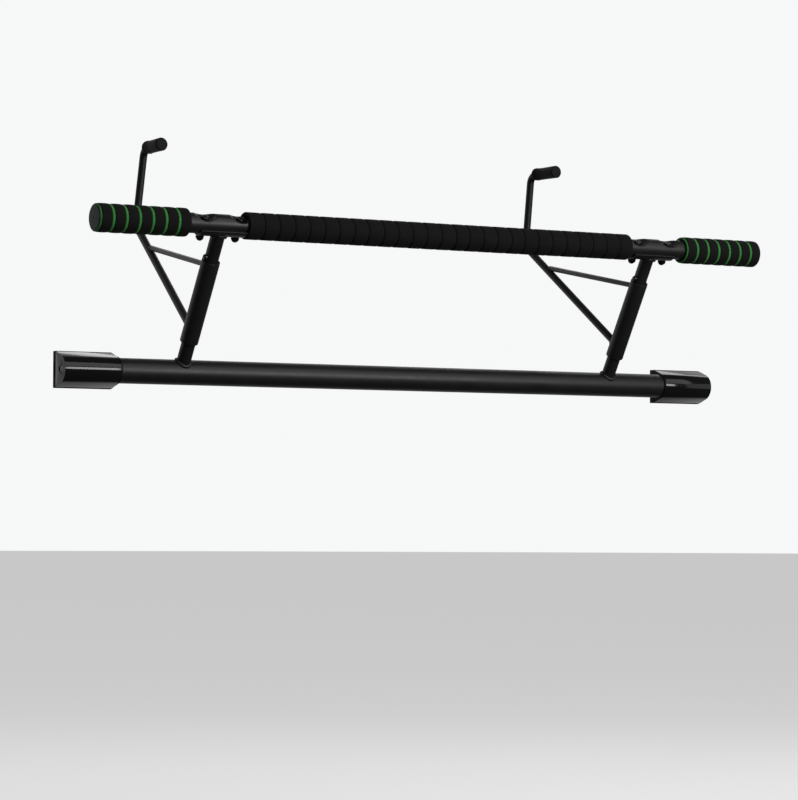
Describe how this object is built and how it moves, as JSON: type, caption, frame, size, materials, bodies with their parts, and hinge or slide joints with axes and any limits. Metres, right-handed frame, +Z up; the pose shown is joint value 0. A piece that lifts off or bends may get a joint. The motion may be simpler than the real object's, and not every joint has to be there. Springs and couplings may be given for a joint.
{
  "type": "pull up bar",
  "caption": "Doorway pull-up bar: padded lower bar, forward-leaning posts, foam-covered grip bar and folding hook frames that hang on the door trim.",
  "frame": {"origin": "on the plane of the door jambs, midway between the two jamb pads, at the height of the lower bar's axis", "axes": "+X along the bars, +Y back through the doorway, +Z up"},
  "size_m": [0.993, 0.2963, 0.3304],
  "materials": {
    "powder_coat": "satin black powder coat on steel",
    "grip_foam": "matte closed-cell foam",
    "green_foam": "matte green foam",
    "cap_plastic": "glossy black moulded plastic",
    "pad_rubber": "matte black rubber",
    "plug_plastic": "dark grey moulded plastic",
    "liner_nylon": "black nylon",
    "boot_rubber": "matte black rubber",
    "button_steel": "black oxide steel",
    "spring_steel": "plain spring strip",
    "black_fastener": "black zinc plate"
  },
  "bodies": {
    "root": {"lower_bar": "powder_coat", "grip_bar": "powder_coat", "middle_grip": "grip_foam", "saddle_bolts": "black_fastener", "dome_nuts": "black_fastener", "end_cap_left": "cap_plastic", "end_cap_right": "cap_plastic", "jamb_pad_left": "pad_rubber", "jamb_pad_right": "pad_rubber", "post_left": "powder_coat", "post_right": "powder_coat", "saddle_left": "powder_coat", "saddle_right": "powder_coat", "end_grip_left": "grip_foam", "end_grip_right": "grip_foam", "grip_rings_left": "green_foam", "grip_rings_right": "green_foam", "grip_plug_left": "plug_plastic", "grip_plug_right": "plug_plastic", "button_spring_left": "spring_steel", "button_spring_right": "spring_steel"},
    "liner_left": {"sleeve_liner_left": "liner_nylon"},
    "hook_frame_left": {"sleeve_left": "powder_coat", "hook_arm_left": "powder_coat", "brace_left": "powder_coat", "hook_boot_left": "boot_rubber"},
    "button_left": {"stop_button_left": "button_steel"},
    "liner_right": {"sleeve_liner_right": "liner_nylon"},
    "hook_frame_right": {"sleeve_right": "powder_coat", "hook_arm_right": "powder_coat", "brace_right": "powder_coat", "hook_boot_right": "boot_rubber"},
    "button_right": {"stop_button_right": "button_steel"}
  },
  "joints": [
    {"name": "sleeve_slide_left", "type": "slide", "parent": "root", "child": "liner_left", "axis": [0, 0.5141, -0.8577], "range_m": [0, 0.0205]},
    {"name": "hook_turn_left", "type": "hinge", "parent": "liner_left", "child": "hook_frame_left", "pos_m": [-0.324, -0.019, 0], "axis": [0, 0.5141, -0.8577], "range_deg": [0, 75]},
    {"name": "button_press_left", "type": "slide", "parent": "root", "child": "button_left", "axis": [1, 0, 0], "range_m": [0, 0.003], "stiffness_N_per_m": 2000, "springref_m": -0.002, "deforming": ["button_spring_left"]},
    {"name": "sleeve_slide_right", "type": "slide", "parent": "root", "child": "liner_right", "axis": [0, 0.5141, -0.8577], "range_m": [0, 0.0205]},
    {"name": "hook_turn_right", "type": "hinge", "parent": "liner_right", "child": "hook_frame_right", "pos_m": [0.324, -0.019, 0], "axis": [0, -0.5141, 0.8577], "range_deg": [0, 75]},
    {"name": "button_press_right", "type": "slide", "parent": "root", "child": "button_right", "axis": [1, 0, 0], "range_m": [0, 0.003], "stiffness_N_per_m": 2000, "springref_m": -0.002, "deforming": ["button_spring_right"]}
  ]
}
